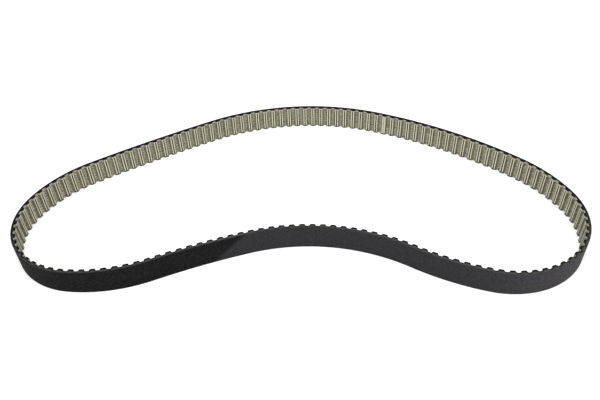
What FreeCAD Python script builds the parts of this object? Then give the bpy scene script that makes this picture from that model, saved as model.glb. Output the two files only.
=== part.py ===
import FreeCAD, Part
import math
import os

import PartDesign
import Sketcher
from FreeCAD import Placement, Rotation, Vector

# Automotive synchronous belt, 9.525 mm pitch, lying on its edge in a loose closed curve.
# The belt is laid out along its pitch line, the middle of the tension cords. Places on it
# are given by `along`, the distance along the pitch line, and `inward`, the depth from the
# pitch line towards the inside of the loop (negative values lie towards the back).

os.makedirs("parts", exist_ok=True)
doc = FreeCAD.newDocument("timing_belt")

# ---------------------------------------------------------------- driving dimensions (mm, degrees)
SIZES = {
    "tooth_count": 141,
    "tooth_pitch": 9.525,
    "first_tooth": 7.425,         # pitch position of the first tooth's centre
    "belt_width": 25.4,
    "belt_thickness": 4.5,        # back to tooth tip
    "tooth_height": 2.29,
    "tooth_root_width": 6.12,
    "tooth_flank_angle": 20.0,    # each flank, from the tooth's centre line
    "tooth_tip_radius": 1.02,
    "tooth_root_radius": 1.02,
    "tooth_toe": 0.02,            # the rubber under a root fillet ends at this thickness
    "pitch_line_depth": 0.686,    # pitch line to the land between teeth
    "fabric_thickness": 0.25,
    "lap_thickness": 0.25,        # second layer of fabric where the sleeve's ends lap
    "lap_tooth": 82,              # the tooth that carries the lap, counted from the first
    "cord_diameter": 0.6,
    "cord_spacing": 1.6,          # from one turn of cord to the next, S beside Z
    "cord_turns": 15,
    "lay_heading": -7.8,          # direction of the pitch line where the near left arc starts
}

# How the loose belt lies: a closed chain of arcs, anticlockwise seen from above, that share a
# tangent where they meet. A negative turn bends the belt backwards. Two arcs have no radius of
# their own, because they close the loop, and the last arc's turn completes the full circle.
LAY = (
    ("near_left", 135.0, 31.0),
    ("near_left_run", 680.0, -7.5),
    ("dip", 175.0, -50.5),
    ("near_right_run", 237.0, 16.5),
    ("right_lobe", 77.5, 125.5),
    ("right_shoulder", 132.0, 27.0),
    ("far_right", None, 22.0),
    ("far_crown", 215.0, 51.5),
    ("far_left", None, 5.5),
    ("left_shoulder", 119.0, 32.0),
    ("left_lobe", 72.0, None),
)
for arc_name, arc_radius, arc_turn in LAY:
    if arc_radius is not None:
        SIZES[arc_name + "_radius"] = arc_radius
    if arc_turn is not None:
        SIZES[arc_name + "_turn"] = arc_turn

sheet = doc.addObject("Spreadsheet::Sheet", "sizes")
for row, (alias, value) in enumerate(SIZES.items(), start=1):
    sheet.set("A%d" % row, alias)
    sheet.set("B%d" % row, str(value))
    sheet.setAlias("B%d" % row, alias)
doc.recompute()


def size(alias):
    """The value of one cell of the sheet."""
    return float(sheet.get(alias))


teeth = int(size("tooth_count"))
pitch = size("tooth_pitch")
pitch_length = teeth * pitch
height = size("tooth_height")
land = size("pitch_line_depth")                       # visible face between two teeth
bed = land - size("fabric_thickness")                 # rubber face under the fabric
back = size("belt_thickness") - height - land         # smooth outer face, behind the pitch line


# ---------------------------------------------------------------- the pitch line
def heading_vector(degrees):
    return Vector(math.cos(math.radians(degrees)), math.sin(math.radians(degrees)), 0)


def chord_per_radius(start, turn):
    """Step from one end of an arc of radius 1 to the other."""
    side = 1 if turn > 0 else -1
    return (heading_vector(start + turn - 90) - heading_vector(start - 90)) * side


def lay_arcs():
    """Radius, turn and start heading of each arc, closed on itself and as long as the belt."""
    arcs = []
    heading = 0.0
    gap = Vector()
    for name, radius, turn in LAY:
        turn = 360 - heading if turn is None else size(name + "_turn")
        radius = None if radius is None else size(name + "_radius")
        if radius is not None:
            gap += chord_per_radius(heading, turn) * radius
        arcs.append([radius, turn, heading])
        heading += turn
    first, second = [arc for arc in arcs if arc[0] is None]
    first_step = chord_per_radius(first[2], first[1])
    second_step = chord_per_radius(second[2], second[1])
    cross = first_step.cross(second_step).z
    first[0] = second_step.cross(gap).z / cross
    second[0] = -first_step.cross(gap).z / cross
    length = sum(radius * math.radians(abs(turn)) for radius, turn, start in arcs)
    return [(radius * pitch_length / length, turn, start) for radius, turn, start in arcs]


class LoopArc:
    """One arc of the pitch line, with the distance along the belt where it starts."""

    def __init__(self, begin, point, radius, turn, heading):
        self.begin = begin
        self.radius = radius
        self.turn = turn
        self.heading = heading
        self.length = radius * math.radians(abs(turn))
        self.side = 1 if turn > 0 else -1
        self.centre = point + heading_vector(heading + 90) * radius * self.side

    def heading_after(self, distance):
        return self.heading + self.turn * distance / self.length

    def place(self, distance, inward):
        """The point this far along the arc and this deep inside the pitch line."""
        out_of_centre = heading_vector(self.heading_after(distance) - 90) * self.side
        return self.centre + out_of_centre * (self.radius - self.side * inward)


def pitch_line():
    arcs = []
    begin = 0.0
    point = Vector()
    for radius, turn, heading in lay_arcs():
        arc = LoopArc(begin, point, radius, turn, heading)
        arcs.append(arc)
        begin += arc.length
        point = arc.place(arc.length, 0)
    return arcs


loop = pitch_line()


def arc_at(along):
    """The arc of the pitch line that holds this distance."""
    along %= pitch_length
    return [arc for arc in loop if arc.begin <= along][-1]


def place(along, inward):
    arc = arc_at(along)
    return arc.place(along % pitch_length - arc.begin, inward)


def heading_at(along):
    arc = arc_at(along)
    return arc.heading_after(along % pitch_length - arc.begin)


def follow(start, end, inward):
    """Edges that run along the belt at one depth, an exact arc for each arc they cross."""
    edges = []
    joints = [arc.begin + shift for shift in (-pitch_length, 0, pitch_length) for arc in loop]
    stops = [start] + [joint for joint in sorted(joints) if start < joint < end] + [end]
    for low, high in zip(stops, stops[1:]):
        arc = arc_at((low + high) / 2)
        near = low % pitch_length - arc.begin
        near = 0.0 if near < 0 or near > arc.length else near
        ends = [arc.place(near + (high - low) * part, inward) for part in (0, 0.5, 1)]
        edges.append(Part.Arc(*ends).toShape())
    return edges


def ring_geometry(inward):
    """The whole loop at one depth, as arcs for a sketch."""
    return [Part.Arc(*[arc.place(arc.length * part, inward) for part in (0, 0.5, 1)])
            for arc in loop]


# ---------------------------------------------------------------- the tooth
flank = math.radians(size("tooth_flank_angle"))
root_radius = size("tooth_root_radius")
tip_radius = size("tooth_tip_radius")
fillet_share = math.tan((math.pi / 2 - flank) / 2)
half_root = size("tooth_root_width") / 2
half_tip = half_root - height * math.tan(flank)
foot = half_root + fillet_share * root_radius         # half a tooth with its root fillets


def fillet_ways(first, last):
    """Directions from a fillet's centre to its two ends and its middle."""
    return first, (first + last).normalize(), last


def tooth_points(depth, toe):
    """Left half of a tooth's outline, as (sideways, inward) from the tooth's centre line.

    depth is how far under the visible face of the fabric the outline runs, and toe is how far
    above its land it starts. The points are the ends and middle of the root fillet, then those
    of the tip fillet.
    """
    root_centre = Vector(-foot, land + root_radius, 0)
    tip_centre = Vector(-half_tip + fillet_share * tip_radius, land + height - tip_radius, 0)
    rise = math.acos(1 - toe / (root_radius + depth))
    land_end = Vector(math.sin(rise), -math.cos(rise), 0)
    into_tooth = Vector(math.cos(flank), -math.sin(flank), 0)
    root = [root_centre + way * (root_radius + depth) for way in fillet_ways(land_end, into_tooth)]
    up = Vector(0, 1, 0)
    tip = [tip_centre + way * (tip_radius - depth) for way in fillet_ways(-into_tooth, up)]
    return root + tip


def set_down(along, inward, points):
    """Points drawn from one spot of the belt, moved there and turned with the belt."""
    turned = Rotation(Vector(0, 0, 1), heading_at(along))
    return [place(along, inward) + turned.multVec(point) for point in points]


def fillet_on_land(centre, foot_point, points):
    """A root fillet, which turns with the land that it grows out of."""
    return set_down(centre + foot_point.x, foot_point.y, [point - foot_point for point in points])


def mirrored(points):
    return [Vector(-point.x, point.y, 0) for point in points]


def tooth_edges(centre, depth, toe=0.0):
    """Outline of one tooth from land to land, standing on the belt at this pitch position."""
    points = tooth_points(depth, toe)
    near_foot = Vector(-foot, land - depth, 0)
    far_foot = Vector(foot, land - depth, 0)
    root = fillet_on_land(centre, near_foot, points[:3])
    tip = set_down(centre, 0, points[3:])
    far_tip = set_down(centre, 0, mirrored(reversed(points[3:])))
    far_root = fillet_on_land(centre, far_foot, mirrored(reversed(points[:3])))
    return [
        Part.Arc(*root).toShape(),
        Part.LineSegment(root[-1], tip[0]).toShape(),
        Part.Arc(*tip).toShape(),
        Part.LineSegment(tip[-1], far_tip[0]).toShape(),
        Part.Arc(*far_tip).toShape(),
        Part.LineSegment(far_tip[-1], far_root[0]).toShape(),
        Part.Arc(*far_root).toShape(),
    ]


tooth_places = [size("first_tooth") + number * pitch for number in range(teeth)]
lap_place = tooth_places[int(size("lap_tooth"))]


def toothed_wire(depth, with_lap):
    """Closed outline that follows every land and tooth at one depth in the fabric."""
    lap = size("lap_thickness")
    edges = []
    for centre in tooth_places:
        lapped = with_lap and centre == lap_place
        if lapped:
            edges.append(Part.LineSegment(place(centre - foot, land),
                                          place(centre - foot, land + lap)).toShape())
        edges += tooth_edges(centre, depth - lap if lapped else depth)
        if lapped:
            edges.append(Part.LineSegment(place(centre + foot, land + lap),
                                          place(centre + foot, land)).toShape())
        edges += follow(centre + foot, centre + pitch - foot, land - depth)
    return Part.Wire(edges)


# ---------------------------------------------------------------- helpers for the document
def stand(piece):
    """Turn the belt to its lay heading and centre it over the origin."""
    turned = Rotation(Vector(0, 0, 1), size("lay_heading"))
    outline = Part.Wire([arc.toShape() for arc in ring_geometry(-back)])
    outline.Placement = Placement(Vector(), turned)
    box = outline.BoundBox
    piece.Placement = Placement(Vector(-box.Center.x, -box.Center.y, 0), turned)


def datum(body, role):
    return [item for item in body.Origin.OriginFeatures if item.Role == role][0]


def new_body(label):
    body = doc.addObject("PartDesign::Body", label)
    body.AllowCompound = True
    return body


def new_sketch(body, name, plane):
    sketch = body.newObject("Sketcher::SketchObject", name)
    sketch.AttachmentSupport = (datum(body, plane), [""])
    sketch.MapMode = "FlatFace"
    return sketch


def cord_sketches(body, label, first_height):
    """Round section of a cord and the pitch line it follows, both at the first turn's height."""
    route = new_sketch(body, label + "_route", "XY_Plane")
    route.addGeometry(ring_geometry(0))
    route.setExpression("AttachmentOffset.Base.z", first_height)
    section = new_sketch(body, label + "_section", "YZ_Plane")
    section.addGeometry(Part.Circle(Vector(), Vector(0, 0, 1), size("cord_diameter") / 2))
    section.addConstraint(Sketcher.Constraint("Radius", 0, size("cord_diameter") / 2))
    section.setExpression("Constraints[0]", "sizes.cord_diameter / 2")
    section.setExpression("AttachmentOffset.Base.y", first_height)
    return route, section


def repeat_up(body, feature, label, step, count):
    """Repeat a feature up the belt's width."""
    pattern = body.newObject("PartDesign::LinearPattern", label)
    pattern.Originals = [feature]
    pattern.Direction = (datum(body, "Z_Axis"), [""])
    pattern.setExpression("Occurrences", count)
    pattern.setExpression("Length", "%s * (%s - 1)" % (step, count))
    body.Tip = pattern


FIRST_TURN = "(sizes.belt_width - sizes.cord_spacing * (sizes.cord_turns - 1)) / 2"
SECOND_TURN = "(sizes.belt_width - sizes.cord_spacing * (sizes.cord_turns - 3)) / 2"


# ---------------------------------------------------------------- the pieces
def build_backing():
    """Rubber band from the smooth back to the tooth roots, moulded round every turn of cord."""
    body = new_body("backing")
    outline = new_sketch(body, "backing_outline", "XY_Plane")
    outline.addGeometry(ring_geometry(-back) + ring_geometry(bed))
    band = body.newObject("PartDesign::Pad", "backing_band")
    band.Profile = outline
    band.setExpression("Length", "sizes.belt_width")
    doc.recompute()
    solid_volume = body.Shape.Volume
    route, section = cord_sketches(body, "channel", FIRST_TURN)
    channel = body.newObject("PartDesign::SubtractivePipe", "cord_channel")
    channel.Profile = section
    channel.Spine = (route, [])
    doc.recompute()
    repeat_up(body, channel, "cord_channels", "sizes.cord_spacing", "sizes.cord_turns")
    doc.recompute()
    assert body.Shape.Volume < solid_volume, "the cord channels must leave the band"
    return body


def build_cord(label, first_height, count):
    """One twist of tension cord: every second turn of the winding."""
    body = new_body(label)
    route, section = cord_sketches(body, label, first_height)
    turn = body.newObject("PartDesign::AdditivePipe", label + "_turn")
    turn.Profile = section
    turn.Spine = (route, [])
    doc.recompute()
    repeat_up(body, turn, label + "_turns", "(sizes.cord_spacing * 2)", count)
    return body


def extrude_across(label, faces):
    """Faces drawn in the belt's side view, extruded over its whole width."""
    drawing = doc.addObject("Part::Feature", label + "_outline")
    drawing.Shape = faces
    piece = doc.addObject("Part::Extrusion", label)
    piece.Base = drawing
    piece.DirMode = "Custom"
    piece.Dir = Vector(0, 0, 1)
    piece.Solid = True
    piece.setExpression("LengthFwd", "sizes.belt_width")
    return piece


def build_teeth():
    """Rubber core of each tooth, seated on the band and covered by the fabric."""
    faces = []
    depth = size("fabric_thickness")
    toe = size("tooth_toe")
    reach = -tooth_points(depth, toe)[0].x
    for centre in tooth_places:
        outline = tooth_edges(centre, depth, toe)
        near_toe = Part.LineSegment(place(centre - reach, bed), outline[0].firstVertex().Point)
        far_toe = Part.LineSegment(outline[-1].lastVertex().Point, place(centre + reach, bed))
        outline += [near_toe.toShape(), far_toe.toShape()]
        outline += follow(centre - reach, centre + reach, bed)
        faces.append(Part.Face(Part.Wire(Part.__sortEdges__(outline))))
    return extrude_across("teeth", Part.makeCompound(faces))


def build_facing():
    """Woven nylon facing that covers the lands and teeth, with its ends lapped on one tooth."""
    visible = toothed_wire(0, True)
    hidden = toothed_wire(size("fabric_thickness"), False)
    face = Part.makeFace([hidden, visible], "Part::FaceMakerBullseye")
    return extrude_across("facing_fabric", face)


pieces = [
    build_backing(),
    build_cord("tension_cord_s", FIRST_TURN, "ceil(sizes.cord_turns / 2)"),
    build_cord("tension_cord_z", SECOND_TURN, "floor(sizes.cord_turns / 2)"),
    build_teeth(),
    build_facing(),
]
for piece in pieces:
    stand(piece)
doc.recompute()

# ---------------------------------------------------------------- checks, then export
for item in doc.Objects:
    assert "Invalid" not in item.State and "Error" not in item.State, item.Label
for piece in pieces:
    assert not piece.Shape.isNull() and piece.Shape.isValid(), piece.Label
for piece in pieces:
    piece.Shape.exportStep("parts/%s.step" % piece.Label)
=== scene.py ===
import math
import random

import bpy
import numpy as np
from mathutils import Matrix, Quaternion, Vector


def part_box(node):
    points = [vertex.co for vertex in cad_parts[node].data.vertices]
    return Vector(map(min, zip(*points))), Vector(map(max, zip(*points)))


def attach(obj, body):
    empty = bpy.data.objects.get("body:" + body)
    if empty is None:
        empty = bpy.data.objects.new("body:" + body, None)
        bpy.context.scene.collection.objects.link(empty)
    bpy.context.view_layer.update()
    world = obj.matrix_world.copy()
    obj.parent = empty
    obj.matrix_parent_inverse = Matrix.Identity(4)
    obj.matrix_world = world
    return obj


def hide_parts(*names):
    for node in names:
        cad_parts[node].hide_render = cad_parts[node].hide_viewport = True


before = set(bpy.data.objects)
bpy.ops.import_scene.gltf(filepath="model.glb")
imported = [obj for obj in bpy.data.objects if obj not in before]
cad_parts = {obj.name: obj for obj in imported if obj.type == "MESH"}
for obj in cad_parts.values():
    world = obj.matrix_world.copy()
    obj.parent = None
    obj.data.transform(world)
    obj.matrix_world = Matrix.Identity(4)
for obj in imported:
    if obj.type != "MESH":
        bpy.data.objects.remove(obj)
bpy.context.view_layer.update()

# The looks of a timing belt that stands on its cut edge. Sizes are in metres, in the CAD frame.
MM = 0.001

# ---------------------------------------------------------------- the belt's own sizes
TEETH = 141
PITCH = 9.525 * MM
LENGTH = TEETH * PITCH
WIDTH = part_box("backing")[1].z
THICKNESS = 4.5 * MM
TOOTH_HEIGHT = 2.29 * MM
HALF_ROOT = 6.12 * MM / 2
FLANK = math.radians(20)
TOOTH_RADIUS = 1.02 * MM         # both the root fillet and the tip corner
LAND = 0.686 * MM                # pitch line to the visible land
FABRIC = 0.25 * MM
BED = LAND - FABRIC              # rubber face under the fabric
BACK = THICKNESS - TOOTH_HEIGHT - LAND
FIRST_TOOTH = 7.425 * MM         # pitch position of the first tooth's centre
LAP_TOOTH = 82                   # the tooth that carries the lap of the sleeve
LAP_REACH = 0.2 * PITCH          # of the lap's pale cloth, either side of that tooth's centre
LAY_HEADING = -7.8               # direction of the pitch line where the lay starts

# The lay of the loose belt: radius in mm and turn in degrees of each arc of its pitch line.
# None is worked out: two radii close the loop and the last turn completes the circle.
LAY = (
    (135.0, 31.0), (680.0, -7.5), (175.0, -50.5), (237.0, 16.5), (77.5, 125.5), (132.0, 27.0),
    (None, 22.0), (215.0, 51.5), (None, 5.5), (119.0, 32.0), (72.0, None),
)

# ---------------------------------------------------------------- how finely the meshes are cut
OUTLINE_POINTS = 20 * TEETH
LAND_STEPS = 6
TIP_STEPS = 6
FLANK_STEPS = 3
CORNER_STEPS = 4
BAND_STEPS = 12                  # per pitch
BACK_ROWS = 8
FACING_ROWS = 12
FRAY_STRANDS = 2200
STRAND_RINGS = 4

# ---------------------------------------------------------------- the finish
THREAD = 0.42 * MM
RIB = 3.2 * MM                   # from one pale dot to the next down the middle of a land
BROKEN_CORNER = 0.14 * MM
RAGGED_EDGE = 0.03 * MM          # standard deviation of the facing's cut
HIDDEN_FRAY = 0.05 * MM          # how far inside the cut edge a strand starts
CRISP = math.radians(40)         # a sharper bend than this is an edge
FAR_BEGINS = (-0.1, -0.04)       # Y over which the near side passes into the far side


# ---------------------------------------------------------------- the pitch line
def unit(degrees):
    angle = np.radians(degrees)
    return np.stack([np.cos(angle), np.sin(angle)], axis=-1)


def lay_arcs():
    """Radius, turn and start heading of each arc, closed and as long as the belt."""
    arcs = []
    heading = LAY_HEADING
    for radius, turn in LAY:
        turn = 360 + LAY_HEADING - heading if turn is None else turn
        arcs.append([radius and radius * MM, turn, heading])
        heading += turn
    steps = [(unit(start + turn - 90) - unit(start - 90)) * np.sign(turn)
             for radius, turn, start in arcs]
    gap = sum(step * arc[0] for step, arc in zip(steps, arcs) if arc[0])
    free = [index for index, arc in enumerate(arcs) if arc[0] is None]
    closing = np.linalg.solve(np.column_stack([steps[index] for index in free]), -gap)
    for index, radius in zip(free, closing):
        arcs[index][0] = float(radius)
    length = sum(radius * math.radians(abs(turn)) for radius, turn, start in arcs)
    return [(radius * LENGTH / length, turn, start) for radius, turn, start in arcs]


class PitchLine:
    """The belt's pitch line in the CAD frame, as a lookup from distance to place."""

    def __init__(self):
        self.arcs = lay_arcs()
        self.begins = [0.0]
        self.centres = []
        point = np.zeros(2)
        for radius, turn, heading in self.arcs:
            side = np.sign(turn)
            centre = point + unit(heading + 90) * radius * side
            point = centre + unit(heading + turn - 90) * radius * side
            self.centres.append(centre)
            self.begins.append(self.begins[-1] + radius * math.radians(abs(turn)))
        outline = self.raw(np.linspace(0, LENGTH, OUTLINE_POINTS), -BACK)
        self.shift = (outline.max(0) + outline.min(0)) / 2

    def raw(self, along, inward):
        """The same in plan, before the loop is centred on the origin."""
        along = np.mod(along, LENGTH)
        inward = np.broadcast_to(inward, along.shape)
        index = np.clip(np.searchsorted(self.begins, along, side="right") - 1, 0, len(LAY) - 1)
        radius, turn, heading = np.array(self.arcs)[index].T
        side = np.sign(turn)
        swept = np.degrees((along - np.array(self.begins)[index]) / radius) * side
        out = unit(heading + swept - 90) * side[:, None]
        return np.array(self.centres)[index] + out * (radius - side * inward)[:, None]

    def place(self, along, inward, up):
        """Points this far along the belt, this deep inside the pitch line and this high."""
        flat = self.raw(np.asarray(along, float), inward) - self.shift
        return np.column_stack([flat, np.broadcast_to(up, len(flat))])


BELT = PitchLine()


# ---------------------------------------------------------------- the tooth's outline
def arc_points(centre, radius, start, end, count):
    return [(centre[0] + radius * math.cos(start + (end - start) * step / count),
             centre[1] + radius * math.sin(start + (end - start) * step / count))
            for step in range(count + 1)]


def tooth_half(depth):
    """Root fillet and tip corner of a tooth's left side, this deep under the visible face."""
    share = math.tan((math.pi / 2 - FLANK) / 2)
    half_tip = HALF_ROOT - TOOTH_HEIGHT * math.tan(FLANK)
    root = (-HALF_ROOT - share * TOOTH_RADIUS, LAND + TOOTH_RADIUS)
    tip = (-half_tip + share * TOOTH_RADIUS, LAND + TOOTH_HEIGHT - TOOTH_RADIUS)
    fillet = arc_points(root, TOOTH_RADIUS + depth, -math.pi / 2, -FLANK, CORNER_STEPS)
    corner = arc_points(tip, TOOTH_RADIUS - depth, math.pi - FLANK, math.pi / 2, CORNER_STEPS)
    return fillet, corner


def between(start, end, count):
    """Points strictly between two, evenly spaced."""
    shares = [step / count for step in range(1, count)]
    return [(start[0] + (end[0] - start[0]) * share, start[1] + (end[1] - start[1]) * share)
            for share in shares]


def tooth_path(depth):
    """A whole tooth from land to land, as (sideways, inward) from its centre line."""
    fillet, corner = tooth_half(depth)
    half = fillet + between(fillet[-1], corner[0], FLANK_STEPS) + corner
    mirrored = [(-x, y) for x, y in reversed(half)]
    return half + between(half[-1], mirrored[0], TIP_STEPS) + mirrored


def toothed_path(depth, lap_depth):
    """The whole inner face at one depth: distance along and depth inward of each point."""
    points = []
    for number in range(TEETH):
        centre = FIRST_TOOTH + number * PITCH
        tooth = tooth_path(lap_depth if number == LAP_TOOTH else depth)
        foot = -tooth[0][0]
        points += [(centre + x, y) for x, y in tooth]
        points += between((centre + foot, LAND - depth), (centre + PITCH - foot, LAND - depth),
                          LAND_STEPS)
    return np.array(points).T


def nearest_tooth(along):
    return np.round((along - FIRST_TOOTH) / PITCH)


def from_centre_line(along):
    """Distance to the nearest tooth's centre line."""
    return np.abs(along - FIRST_TOOTH - nearest_tooth(along) * PITCH)


# ---------------------------------------------------------------- meshes
def ring_mesh(name, rows, attributes):
    """A closed skin from rows of points, each row a closed loop round the belt.

    attributes holds lists of one value per row and point. The UV map gives the distance along
    the first row and the distance round the section, both in metres.
    """
    rows = np.asarray(rows)
    count, length = rows.shape[:2]
    index = np.arange(count * length).reshape(count, length)
    right = np.roll(index, -1, axis=1)
    below = np.roll(index, -1, axis=0)
    corner = np.roll(right, -1, axis=0)
    quads = np.stack([index, right, corner, below], axis=-1).reshape(-1, 4)
    mesh = bpy.data.meshes.new(name)
    mesh.from_pydata(rows.reshape(-1, 3).tolist(), [], quads.tolist())
    across = np.r_[0, np.cumsum(np.linalg.norm(np.roll(rows, -1, 0)[:, 0] - rows[:, 0], axis=-1))]
    along = np.r_[0, np.cumsum(np.linalg.norm(np.roll(rows, -1, 1)[0] - rows[0], axis=-1))]
    u_low, v_low = np.meshgrid(along[:-1], across[:-1])
    u_high, v_high = np.meshgrid(along[1:], across[1:])
    corners = [(u_low, v_low), (u_high, v_low), (u_high, v_high), (u_low, v_high)]
    uv = np.stack([np.stack(pair, axis=-1) for pair in corners], axis=2)
    mesh.uv_layers.new(name="belt").data.foreach_set("uv", uv.reshape(-1).astype(np.float32))
    for label, values in attributes.items():
        mark_points(mesh, label, values)
    return finish_piece(name, mesh)


def mark_points(mesh, label, values):
    """One number per point, for the material to read."""
    layer = mesh.attributes.new(label, "FLOAT", "POINT")
    layer.data.foreach_set("value", np.asarray(values, np.float32).reshape(-1))


def finish_piece(name, mesh):
    """Outward normals, smooth shading with crisp edges, and the object in the scene."""
    mesh.validate()
    mesh.polygons.foreach_set("use_smooth", [True] * len(mesh.polygons))
    piece = bpy.data.objects.new(name, mesh)
    bpy.context.scene.collection.objects.link(piece)
    bpy.ops.object.select_all(action="DESELECT")
    piece.select_set(True)
    bpy.context.view_layer.objects.active = piece
    bpy.ops.object.mode_set(mode="EDIT")
    bpy.ops.mesh.select_all(action="SELECT")
    bpy.ops.mesh.normals_make_consistent(inside=False)
    bpy.ops.object.mode_set(mode="OBJECT")
    mesh.set_sharp_from_angle(angle=CRISP)
    return piece


def belong(piece, node, material):
    """A piece that stands for a CAD node and takes the given material."""
    piece.data.materials.append(material)
    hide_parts(node)
    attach(piece, "root")
    return piece


def make_backing(material):
    """The rubber band: smooth back, two knife-cut edges with broken corners, hidden bed.

    The marks tell the material how far a point is turned towards a cut edge, how deep inside the
    pitch line it lies and how far from its tooth's centre line, both in millimetres.
    """
    bend_steps = 3
    middle = (-BACK + BROKEN_CORNER, BROKEN_CORNER)
    low = arc_points(middle, BROKEN_CORNER, 1.5 * math.pi, math.pi, bend_steps)
    high = [(inward, WIDTH - up) for inward, up in reversed(low)]
    cut_rows = [-0.9 * MM, -0.4 * MM, 0.1 * MM]
    back_rows = [WIDTH * step / BACK_ROWS for step in range(1, BACK_ROWS)]
    section = [(BED, 0.0, 1)] + [(x, 0.0, 1) for x in reversed(cut_rows)]
    section += [(x, up, 1 - step / bend_steps) for step, (x, up) in enumerate(low)]
    section += [(-BACK, up, 0) for up in back_rows]
    section += [(x, up, step / bend_steps) for step, (x, up) in enumerate(high)]
    section += [(x, WIDTH, 1) for x in cut_rows] + [(BED, WIDTH, 1)]
    steps = TEETH * BAND_STEPS
    along = FIRST_TOOTH + np.arange(steps) * LENGTH / steps
    away = from_centre_line(along)
    rows = [BELT.place(along, inward, up) for inward, up, cut in section]
    marks = {
        "cut": [np.full(steps, cut) for inward, up, cut in section],
        "depth": [np.full(steps, inward / MM) for inward, up, cut in section],
        "away": [away / MM for row in section],
    }
    return belong(ring_mesh("backing_rubber", rows, marks), "backing", material)


def make_teeth(material):
    """The rubber core of every tooth, seen at the two cut edges inside the fabric.

    The marks give the height over the land and the place beside the centre line in millimetres.
    """
    x, y = np.array(tooth_path(FABRIC)).T
    count = len(x)
    vertices, faces = [], []
    for number in range(TEETH):
        centre = FIRST_TOOTH + number * PITCH
        base = len(vertices)
        vertices += BELT.place(centre + x, y, 0.0).tolist()
        vertices += BELT.place(centre + x, y, WIDTH).tolist()
        faces.append(list(range(base, base + count)))
        faces.append(list(range(base + count, base + 2 * count)))
        for step in range(count):
            after = (step + 1) % count
            faces.append([base + step, base + after, base + count + after, base + count + step])
    mesh = bpy.data.meshes.new("tooth_rubber")
    mesh.from_pydata(vertices, [], faces)
    mark_points(mesh, "height", np.tile((y - LAND) / MM, 2 * TEETH))
    mark_points(mesh, "sideways", np.tile(x / MM, 2 * TEETH))
    return belong(finish_piece("tooth_rubber", mesh), "teeth", material)


def make_facing(material):
    """The woven facing: visible face over lands and teeth, cut edges and hidden underside.

    The marks tell the material how far a point is from its tooth's centre line in millimetres,
    and whether it is on a cut edge or on the lap.
    """
    noise = np.random.default_rng(7)
    along, inward = toothed_path(0.0, -FABRIC)
    under_along, under_inward = toothed_path(FABRIC, FABRIC)
    near_edge = [0.0, 0.1 * MM, 0.4 * MM]
    heights = near_edge + [WIDTH * step / FACING_ROWS for step in range(1, FACING_ROWS)]
    heights += [WIDTH - up for up in reversed(near_edge)]
    rows, edges = [], []
    for up in heights:
        outer = up in (0.0, WIDTH)
        ragged = noise.normal(0, RAGGED_EDGE, len(along)) if outer else 0.0
        rows.append(BELT.place(along, inward + ragged, up))
        edges.append(1.0 if outer else 0.0)
    for up in (WIDTH, 0.0):
        rows.append(BELT.place(under_along, under_inward, up))
        edges.append(1.0)
    away = from_centre_line(along)
    lap = (nearest_tooth(along) == LAP_TOOTH) * (away < LAP_REACH)
    shape = (len(rows), len(along))
    marks = {
        "edge": np.broadcast_to(np.array(edges)[:, None], shape),
        "away": np.broadcast_to(away / MM, shape),
        "lap": np.broadcast_to(lap, shape),
    }
    return belong(ring_mesh("facing_weave", rows, marks), "facing_fabric", material)


def make_fray(material):
    """Short fibre ends that stand out of the facing's two cut edges."""
    rng = random.Random(11)
    along, inward = toothed_path(0.0, 0.0)
    vertices, faces = [], []
    for strand in range(FRAY_STRANDS):
        spot = rng.randrange(len(along))
        top = rng.random() < 0.5
        reach = rng.uniform(0.05, 0.3) * MM
        lift = rng.uniform(0.0, 0.03) * MM
        drift = rng.uniform(-0.4, 0.4) * MM
        thick = rng.uniform(0.012, 0.022) * MM
        base = len(vertices)
        for ring in range(STRAND_RINGS):
            share = ring / (STRAND_RINGS - 1)
            girth = thick * (1 - 0.75 * share)
            place_along = along[spot] + drift * share ** 1.5
            depth = inward[spot] - 0.1 * MM + reach * share
            height = (WIDTH - HIDDEN_FRAY + lift * share * share) if top else HIDDEN_FRAY
            for angle in (90, 210, 330):
                side, up = unit(angle) * girth
                vertices.append(BELT.place([place_along + side], depth, height + up)[0].tolist())
        for ring in range(STRAND_RINGS - 1):
            for edge in range(3):
                low = base + 3 * ring
                after = (edge + 1) % 3
                faces.append([low + edge, low + after, low + 3 + after, low + 3 + edge])
        last = base + 3 * (STRAND_RINGS - 1)
        faces.append([base, base + 1, base + 2])
        faces.append([last, last + 1, last + 2])
    mesh = bpy.data.meshes.new("facing_fray")
    mesh.from_pydata(vertices, [], faces)
    return belong(finish_piece("facing_fray", mesh), "facing_fabric", material)


# ---------------------------------------------------------------- colours
def grey(level, warmth=0.0):
    return (level * (1 + warmth), level, level * (1 - warmth), 1.0)


def violet_grey(level):
    """A grey with a faint violet cast, for the painted sheen on black rubber."""
    return (level * 1.01, level * 0.96, level * 1.05, 1.0)


# Each pair holds the darkest and the palest tone of a mottled part.
YARN = ((0.12, 0.118, 0.075, 1), (0.39, 0.384, 0.265, 1))
GAP = ((0.05, 0.048, 0.032, 1), (0.13, 0.127, 0.088, 1))
TIP_CORNER = ((0.57, 0.56, 0.42, 1), (0.86, 0.84, 0.66, 1))
TIP_LINE = ((0.012, 0.011, 0.008, 1), (0.04, 0.037, 0.027, 1))
# painted highlight: the pale tones near the facing's top edge, where light falls from above
TOP_EDGE_HIGHLIGHT = ((0.3, 0.27, 0.24, 1), (0.68, 0.63, 0.57, 1))
FIBRE = ((0.012, 0.01, 0.009, 1), (0.12, 0.11, 0.09, 1))
CORD = ((0.16, 0.09, 0.04, 1), (0.5, 0.36, 0.2, 1))
YARN_DOT = (0.8, 0.79, 0.6, 1)
GAP_DOT = (0.4, 0.39, 0.3, 1)
GREASY_PATCH = (0.18, 0.18, 0.12, 1)
# partly the olive, rubber-stained cloth of the flanks, partly painted shade in the hollow between
# the teeth
FLANK_STAIN_AND_SHADE = (0.07, 0.07, 0.04, 1)
PALE_LAP = (0.5, 0.49, 0.38, 1)
CORD_TRACE = (0.3, 0.24, 0.17, 1)


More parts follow.
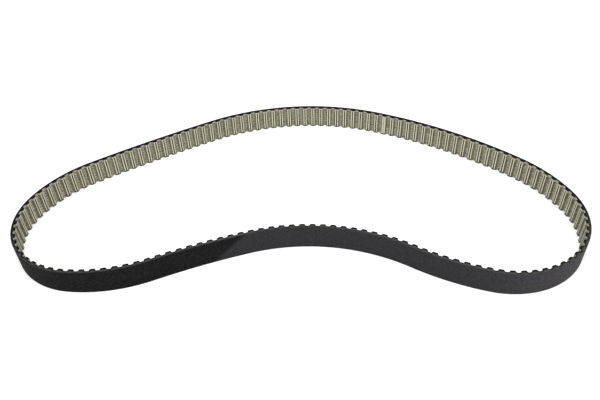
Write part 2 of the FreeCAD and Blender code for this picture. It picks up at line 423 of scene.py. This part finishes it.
# ---------------------------------------------------------------- shader helpers
class Shader:
    """A node material under construction; a method adds what it needs and gives its output."""

    def __init__(self, name, roughness, specular, sheen=0.0):
        self.material = bpy.data.materials.new(name)
        self.material.use_nodes = True
        self.nodes = self.material.node_tree.nodes
        self.links = self.material.node_tree.links
        self.surface = self.nodes["Principled BSDF"]
        self.surface.inputs["Roughness"].default_value = roughness
        self.surface.inputs["Specular IOR Level"].default_value = specular
        self.surface.inputs["Sheen Weight"].default_value = sheen

    def node(self, kind, inputs, output, **settings):
        made = self.nodes.new(kind)
        for key, value in settings.items():
            setattr(made, key, value)
        for key, value in inputs.items():
            if isinstance(value, bpy.types.NodeSocket):
                self.links.new(value, made.inputs[key])
            else:
                made.inputs[key].default_value = value
        return made.outputs[output]

    def attribute(self, name):
        return self.node("ShaderNodeAttribute", {}, "Fac", attribute_name=name)

    def place(self):
        return self.node("ShaderNodeTexCoord", {}, "Object")

    def axis(self, letter):
        """One coordinate in the object's frame, in metres."""
        split = self.nodes.new("ShaderNodeSeparateXYZ")
        self.links.new(self.place(), split.inputs[0])
        return split.outputs[letter]

    def belt(self):
        """Distance along the belt and round its section, in metres."""
        uv = self.node("ShaderNodeUVMap", {}, "UV", uv_map="belt")
        split = self.nodes.new("ShaderNodeSeparateXYZ")
        self.links.new(uv, split.inputs[0])
        return split.outputs["X"], split.outputs["Y"]

    def stretched(self, scale):
        return self.node("ShaderNodeMapping", {"Vector": self.place(), "Scale": scale}, "Vector")

    def noise(self, vector, scale, detail=3.0, roughness=0.5):
        return self.node("ShaderNodeTexNoise", {"Vector": vector, "Scale": scale,
                         "Detail": detail, "Roughness": roughness}, "Fac")

    def both(self, first, second):
        """The product: high only where both are."""
        return self.math("MULTIPLY", first, second)

    def math(self, operation, first, second=0.0, third=0.0):
        return self.node("ShaderNodeMath", {0: first, 1: second, 2: third}, "Value",
                         operation=operation)

    def remap(self, value, low, high, to_low=0.0, to_high=1.0):
        return self.node("ShaderNodeMapRange", {"Value": value, "From Min": low, "From Max": high,
                         "To Min": to_low, "To Max": to_high}, "Result",
                         interpolation_type="SMOOTHSTEP")

    def plateau(self, value, begin, full, fade, end):
        """1 from full to fade, falling smoothly to 0 at begin and at end."""
        return self.both(self.remap(value, begin, full), self.remap(value, fade, end, 1.0, 0.0))

    def peak(self, value, middle, reach):
        """1 at the middle, falling smoothly to 0 at this reach on either side."""
        gap = self.math("ABSOLUTE", self.math("SUBTRACT", value, middle))
        return self.remap(gap, 0.0, reach, 1.0, 0.0)

    def mix(self, factor, first, second):
        made = self.nodes.new("ShaderNodeMix")
        made.data_type = "RGBA"
        for socket, value in zip((made.inputs[0], made.inputs[6], made.inputs[7]),
                                 (factor, first, second)):
            if isinstance(value, bpy.types.NodeSocket):
                self.links.new(value, socket)
            else:
                socket.default_value = value
        return made.outputs[2]

    def shade(self, colour):
        self.links.new(colour, self.surface.inputs["Base Color"])

    def rough(self, value):
        self.links.new(value, self.surface.inputs["Roughness"])

    def bump(self, height, strength, distance):
        normal = self.node("ShaderNodeBump", {"Height": height, "Strength": strength,
                           "Distance": distance}, "Normal")
        self.links.new(normal, self.surface.inputs["Normal"])


# ---------------------------------------------------------------- materials
def rubber_of_band():
    """Ground back, painted darker left of a slanting line and lighter right of it, as painted
    shade and a painted sheen, and knife-cut edges.
    """
    shader = Shader("black_rubber_ground", 0.6, 0.07)
    sideways, up = shader.axis("X"), shader.axis("Z")
    grind = shader.noise(shader.stretched((1, 1, 14)), 260, 4, 0.6)
    grain = shader.noise(shader.place(), 1100, 3, 0.65)
    back = ground_back(shader, grain, sideways, up)
    edge = cut_band_edge(shader, sideways)
    shader.shade(shader.mix(shader.attribute("cut"), back, edge))
    shader.rough(shader.remap(grind, 0.3, 0.7, 0.75, 0.9))
    height = shader.math("MULTIPLY_ADD", grain, 0.6, grind)
    shader.bump(height, 0.4, 0.00008)
    return shader.material


def ground_back(shader, grain, sideways, up):
    """Black rubber in painted shade left of the line, and right of it a painted sheen that grows
    brighter to the right.
    """
    place = shader.place()
    slant = shader.math("MULTIPLY_ADD", up, -1.22, sideways)
    wander = shader.math("MULTIPLY_ADD", shader.noise(place, 60, 2), 0.006, slant)
    # painted light: the back is painted darker left of a slanting line (painted shade) and lighter
    # right of it (painted sheen)
    painted_light_side = shader.remap(wander, -0.08, -0.072)
    dust = shader.remap(shader.noise(place, 520, 2, 0.6), 0.3, 0.7)
    painted_shade_side = shader.mix(dust, grey(0.002), grey(0.0105))
    faint_painted_sheen = shader.mix(dust, violet_grey(0.019), violet_grey(0.028))
    strong_painted_sheen = shader.mix(dust, violet_grey(0.035), violet_grey(0.054))
    # the painted sheen grows brighter towards the right end of the near side
    painted_sheen = shader.mix(shader.remap(sideways, 0.13, 0.27), faint_painted_sheen, strong_painted_sheen)
    back = shader.mix(painted_light_side, painted_shade_side, painted_sheen)
    back = shader.mix(shader.remap(grain, 0.4, 0.75, 0.0, 0.08), back, grey(0.04))
    # painted contact shadow: the lowest 0.8 mm of the back, next to the floor, fades almost to
    # black
    painted_contact_shadow = shader.remap(up, 0.1 * MM, 0.8 * MM, 0.9, 0.0)
    return shader.mix(painted_contact_shadow, back, grey(0.001))


def cut_band_edge(shader, sideways):
    """Cut edge: greyest in the middle of the near side, with a black rind under each land.

    The far side is almost black. Here and there a little cord shows along the pitch line.
    """
    place = shader.place()
    knife = shader.noise(place, 1100, 3, 0.7)
    depth = shader.attribute("depth")
    dull = shader.mix(knife, grey(0.012, 0.03), grey(0.075, 0.03))
    pale = shader.mix(knife, grey(0.03, 0.02), grey(0.13, 0.02))
    # painted light: the near cut edge is painted paler in its middle, like the lit part of the
    # back
    middle = shader.both(shader.remap(sideways, -0.11, -0.05),
                         shader.remap(sideways, 0.03, 0.1, 1.0, 0.3))
    near = shader.mix(middle, dull, pale)
    rind = shader.both(shader.remap(depth, -0.9, -0.5),
                       shader.remap(shader.attribute("away"), 2.6, 3.3))
    near = shader.mix(rind, near, shader.mix(middle, grey(0.002), grey(0.02)))
    far = shader.mix(knife, grey(0.001, 0.05), grey(0.005, 0.05))
    edge = shader.mix(shader.remap(shader.axis("Y"), *FAR_BEGINS), near, far)
    cord = shader.remap(shader.math("ABSOLUTE", depth), 0.1, 0.35, 1.0, 0.0)
    strand = shader.remap(shader.noise(place, 22, 2, 0.4), 0.55, 0.66)
    streak = shader.math("MULTIPLY", shader.both(cord, strand), 0.15)
    return shader.mix(streak, edge, CORD_TRACE)


def rubber_of_teeth():
    """Knife-cut ends of the tooth cores: a grey heart at the foot inside a black skin."""
    shader = Shader("black_rubber_tooth", 0.6, 0.07)
    sideways = shader.axis("X")
    tone = shader.noise(shader.place(), 900, 3, 0.65)
    smear = shader.noise(shader.stretched((1, 5, 1)), 300, 2, 0.5)
    height = shader.attribute("height")
    aside = shader.math("ABSOLUTE", shader.attribute("sideways"))
    under_tip = shader.math("MULTIPLY_ADD", height, -0.6, 0.6 * TOOTH_HEIGHT / MM)
    flank = shader.math("MULTIPLY_ADD", height, -math.tan(FLANK), HALF_ROOT / MM)
    skin = shader.math("MINIMUM", under_tip, shader.math("SUBTRACT", flank, aside))
    near = shader.remap(shader.axis("Y"), *FAR_BEGINS, 1.0, 0.25)
    heart = shader.both(shader.remap(skin, 0.9, 1.4), near)
    dull = shader.mix(tone, grey(0.01, 0.02), grey(0.08, 0.02))
    pale = shader.mix(tone, grey(0.03, 0.02), grey(0.18, 0.02))
    # painted light: the near cut faces are painted paler in their middle, like the lit part of the
    # back
    middle = shader.both(shader.remap(sideways, -0.17, -0.09),
                         shader.remap(sideways, 0.03, 0.1, 1.0, 0.1))
    cut = shader.mix(heart, grey(0.002, 0.05), shader.mix(middle, dull, pale))
    shader.shade(shader.mix(shader.remap(smear, 0.5, 0.8, 0.0, 0.5), cut, grey(0.008)))
    shader.rough(shader.remap(tone, 0.3, 0.7, 0.55, 0.75))
    shader.bump(tone, 0.35, 0.00006)
    return shader.material


def weave_pattern(shader):
    """Two by two twill: 1 on top of a thread, 0 in the gap beside it."""
    along, across = shader.belt()
    column = shader.math("DIVIDE", along, THREAD)
    row = shader.math("DIVIDE", across, THREAD)
    warp = shader.math("ABSOLUTE", shader.math("SINE", shader.math("MULTIPLY", row, math.pi)))
    weft = shader.math("ABSOLUTE", shader.math("SINE", shader.math("MULTIPLY", column, math.pi)))
    cell = shader.math("ADD", shader.math("FLOOR", column), shader.math("FLOOR", row))
    warp_over = shader.math("LESS_THAN", shader.math("FLOORED_MODULO", cell, 4.0), 2.0)
    return shader.mix(warp_over, shader.mix(weft, grey(0), grey(1)),
                      shader.mix(warp, grey(0), grey(1)))


def woven_facing():
    """Grey green nylon twill: pale over the tip corners, dark along the tips, with a painted
    highlight near the top edge and a painted shadow along it, mostly on the far side.
    """
    shader = Shader("nylon_facing", 0.8, 0.2, sheen=0.1)
    away, up = shader.attribute("away"), shader.axis("Z")
    mottle = shader.noise(shader.place(), 1000, 3, 0.7)
    weave = weave_pattern(shader)
    cloth = twill(shader, weave, away)
    cloth = tooth_lines(shader, cloth, mottle, away)
    # painted highlight: the facing is painted paler near its top edge, as if lit from above
    painted_top_light = shader.remap(up, WIDTH - 2.5 * MM, WIDTH - 1.5 * MM, 0.0, 0.6)
    cloth = shader.mix(painted_top_light, cloth, shader.mix(mottle, *TOP_EDGE_HIGHLIGHT))
    on_tooth = shader.remap(away, 2.6, 3.1, 1.0, 0.0)
    # the cloth on each tooth is darker towards the bottom, over its lowest 2.8 mm
    darker_near_bottom = shader.both(shader.remap(up, 1.0 * MM, 2.8 * MM, 0.85, 0.0), on_tooth)
    cloth = shader.mix(darker_near_bottom, cloth, grey(0.05, 0.04))
    # painted shadow: a near-black band along the facing's top edge, strongest on the far side,
    # widening the dark line of the cut edge
    painted_top_shadow = shader.both(shader.remap(up, WIDTH - 1.1 * MM, WIDTH - 0.7 * MM),
                        shader.remap(shader.axis("Y"), -0.03, 0.07, 0.15, 1.0))
    cloth = shader.mix(painted_top_shadow, cloth, grey(0.008, 0.05))
    edge = shader.mix(mottle, grey(0.003, 0.1), grey(0.015, 0.1))
    shader.shade(shader.mix(shader.attribute("edge"), cloth, edge))
    height = shader.math("MULTIPLY_ADD", mottle, 0.3, weave)
    shader.bump(height, 0.6, 0.00006)
    return shader.material


def twill(shader, weave, away):
    """Yarn and the gaps in it, with a row of pale dots down the middle of each land."""
    patch = shader.noise(shader.place(), 90, 3, 0.5)
    slub = shader.noise(shader.stretched((1, 1, 1.6)), 420, 3, 0.7)
    slub = shader.remap(slub, 0.38, 0.62)
    yarn = shader.mix(slub, *YARN)
    yarn = shader.mix(shader.remap(patch, 0.35, 0.7, 0.0, 0.3), yarn, GREASY_PATCH)
    across = shader.belt()[1]
    rib = shader.math("SINE", shader.math("MULTIPLY", across, 2 * math.pi / RIB))
    land_middle = shader.peak(away, PITCH / 2 / MM, 1.1)
    dots = shader.both(land_middle, shader.remap(rib, -0.3, 0.7))
    dots = shader.both(dots, shader.remap(patch, 0.3, 0.6, 0.15, 0.55))
    gap = shader.mix(slub, *GAP)
    return shader.mix(weave, shader.mix(dots, gap, GAP_DOT), shader.mix(dots, yarn, YARN_DOT))


def tooth_lines(shader, cloth, mottle, away):
    """Dark flanks, pale tip corners and a dark line along each tip, which the lap covers."""
    lap = shader.attribute("lap")
    # the flanks are painted darker: partly rubber-stained cloth, partly painted shade in the
    # hollow between the teeth
    flank = shader.math("MULTIPLY", shader.plateau(away, 1.5, 1.8, 2.4, 3.4), 0.6)
    cloth = shader.mix(flank, cloth, FLANK_STAIN_AND_SHADE)
    corner = shader.math("MULTIPLY", shader.plateau(away, 0.8, 1.05, 1.45, 1.75), 0.82)
    cloth = shader.mix(corner, cloth, shader.mix(mottle, *TIP_CORNER))
    tip = shader.both(shader.remap(away, 0.45, 0.85, 0.92, 0.0),
                      shader.remap(lap, 0.0, 1.0, 1.0, 0.2))
    cloth = shader.mix(tip, cloth, shader.mix(mottle, *TIP_LINE))
    return shader.mix(shader.math("MULTIPLY", lap, 0.35), cloth, PALE_LAP)


def loose_fibre():
    """Nylon fibre ends, greyed by rubber."""
    shader = Shader("nylon_fibre", 0.7, 0.2, sheen=0.1)
    tone = shader.noise(shader.place(), 300, 2)
    shader.shade(shader.mix(tone, *FIBRE))
    return shader.material


def glass_cord(name, turn):
    """Dipped glass cord: slanting strands, S or Z by the sign of turn."""
    shader = Shader(name, 0.6, 0.4)
    wave = shader.node("ShaderNodeTexWave", {"Vector": shader.stretched((1, turn, 1)),
                       "Scale": 900.0, "Distortion": 1.5}, "Fac", bands_direction="DIAGONAL")
    shader.shade(shader.mix(wave, *CORD))
    shader.bump(wave, 0.6, 0.00005)
    return shader.material


def floor_material():
    shader = Shader("pale_floor", 0.9, 0.1)
    tone = shader.noise(shader.place(), 3, 2)
    shader.shade(shader.mix(tone, grey(0.9), grey(0.93)))
    shader.surface.inputs["Emission Color"].default_value = (1, 1, 1, 1)
    shader.surface.inputs["Emission Strength"].default_value = 0.3
    return shader.material


# ---------------------------------------------------------------- stage
def make_floor():
    bpy.ops.mesh.primitive_plane_add(size=40)
    floor = bpy.context.object
    floor.name = "floor"
    floor.data.materials.append(floor_material())


def area_light(name, place, aim, size, power):
    data = bpy.data.lights.new(name, "AREA")
    data.shape = "RECTANGLE"
    data.size, data.size_y = size
    data.energy = power
    light = bpy.data.objects.new(name, data)
    light.location = place
    light.rotation_euler = (Vector(aim) - Vector(place)).to_track_quat("-Z", "Y").to_euler()
    bpy.context.scene.collection.objects.link(light)


def make_lights():
    """A soft box on each side, a larger one overhead and a dim surrounding."""
    world = bpy.data.worlds.new("studio")
    world.use_nodes = True
    background = world.node_tree.nodes["Background"]
    background.inputs["Color"].default_value = (1, 1, 1, 1)
    background.inputs["Strength"].default_value = 0.25
    bpy.context.scene.world = world
    middle = (0, 0, 0)
    side_box = (1.2, 1.2)
    area_light("right_box", (1.3, -1.2, 0.9), middle, side_box, 20)
    area_light("left_box", (-1.3, -1.2, 0.9), middle, side_box, 20.5)
    area_light("overhead", (0, 0.1, 1.6), middle, (1.8, 1.4), 20)


def make_camera():
    """A little over 40 degrees above the surface, in front of the belt and slightly rolled."""
    aim = Vector((2.8 * MM, -2.63 * MM, 0))
    distance = 626.8 * MM
    elevation = math.radians(40.84)
    roll = Quaternion((0, 0, 1), math.radians(-1.95))
    away = Vector((0, -math.cos(elevation), math.sin(elevation)))
    data = bpy.data.cameras.new("camera")
    data.sensor_width = 36
    data.lens = 36.39
    data.clip_start = 0.01
    camera = bpy.data.objects.new("camera", data)
    camera.location = aim + away * distance
    camera.rotation_mode = "QUATERNION"
    camera.rotation_quaternion = (-away).to_track_quat("-Z", "Y") @ roll
    bpy.context.scene.collection.objects.link(camera)
    bpy.context.scene.camera = camera


bpy.context.scene.view_settings.view_transform = "Standard"
make_camera()
make_lights()
make_floor()
make_backing(rubber_of_band())
make_teeth(rubber_of_teeth())
make_facing(woven_facing())
make_fray(loose_fibre())
for node_name, twist in (("tension_cord_s", 1), ("tension_cord_z", -1)):
    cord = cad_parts[node_name]
    cord.material_slots[0].material = glass_cord("dipped_glass_" + node_name[-1], twist)
